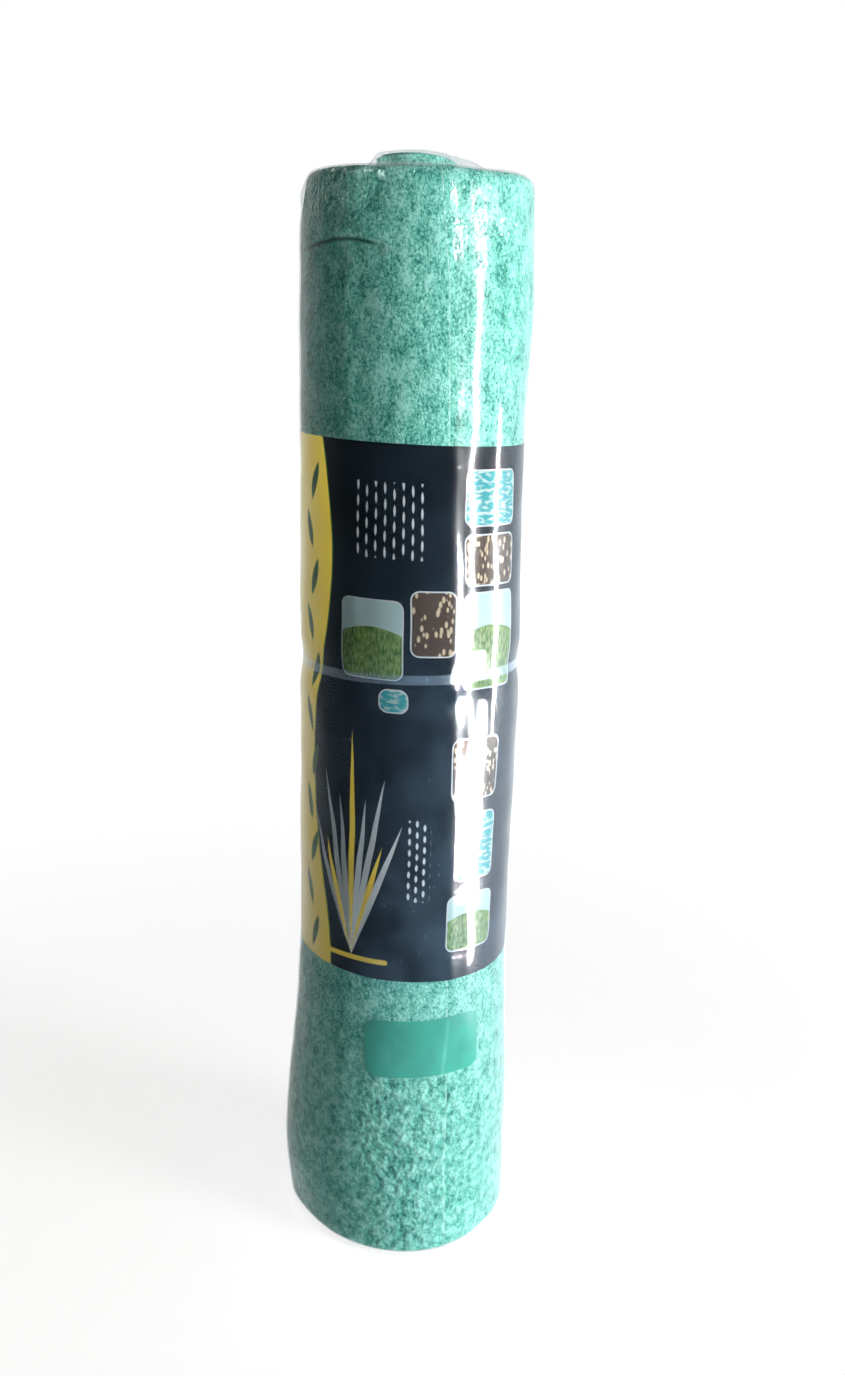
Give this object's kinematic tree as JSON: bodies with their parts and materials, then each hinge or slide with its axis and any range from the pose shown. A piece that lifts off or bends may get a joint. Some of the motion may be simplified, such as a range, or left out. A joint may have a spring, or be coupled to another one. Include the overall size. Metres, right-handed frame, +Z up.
{
  "type": "roll of grass seed mat",
  "caption": "Tall wound roll of green felt seed mat standing on end, with a paper label, a clear band and a closing patch under clear shrink film.",
  "frame": {"origin": "on the roll's axis at the level of the floor that it stands on", "axes": "+Z up along the roll's axis; -Y towards the front, where the label shows; +X to the right of the front"},
  "size_m": [0.1301, 0.1307, 0.6215],
  "materials": {
    "green_felt": "soft mottled fibre felt, matte",
    "green_tape": "smooth tape, satin",
    "printed_paper": "coated printed paper, satin",
    "clear_tape": "clear glossy tape",
    "clear_film": "thin clear shrink film, glossy, slightly wrinkled"
  },
  "bodies": {
    "root": {"seed_mat": "green_felt", "closing_tape": "green_tape", "label_wrap": "printed_paper", "clear_band": "clear_tape", "film_wrap": "clear_film"}
  },
  "joints": []
}
